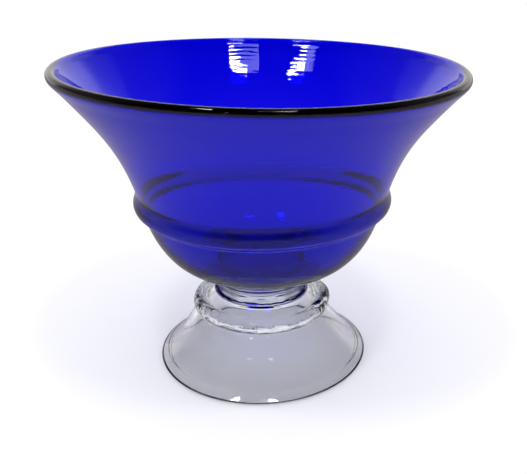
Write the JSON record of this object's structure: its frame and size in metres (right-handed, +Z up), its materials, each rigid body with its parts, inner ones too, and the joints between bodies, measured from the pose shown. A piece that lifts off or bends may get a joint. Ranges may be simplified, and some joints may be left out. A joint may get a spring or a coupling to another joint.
{
  "type": "footed bowl",
  "caption": "Flared cobalt-blue blown-glass bowl with a beaded lip and a waist ring, on a clear post and a hollow clear foot with a wrapped collar.",
  "frame": {"origin": "centre of the circle that the foot stands on", "axes": "+Z up along the axis that every piece is turned round; +X and +Y have no front of their own, because the bowl is round"},
  "size_m": [0.19, 0.19, 0.15],
  "materials": {
    "cobalt_glass": "polished",
    "cobalt_bead": "polished",
    "clear_glass": "polished"
  },
  "bodies": {
    "root": {"bowl": "cobalt_glass", "lip_wrap": "cobalt_bead", "waist_wrap": "cobalt_bead", "post": "clear_glass", "post_thread": "cobalt_bead", "collar_wrap": "clear_glass", "foot": "clear_glass"}
  },
  "joints": []
}
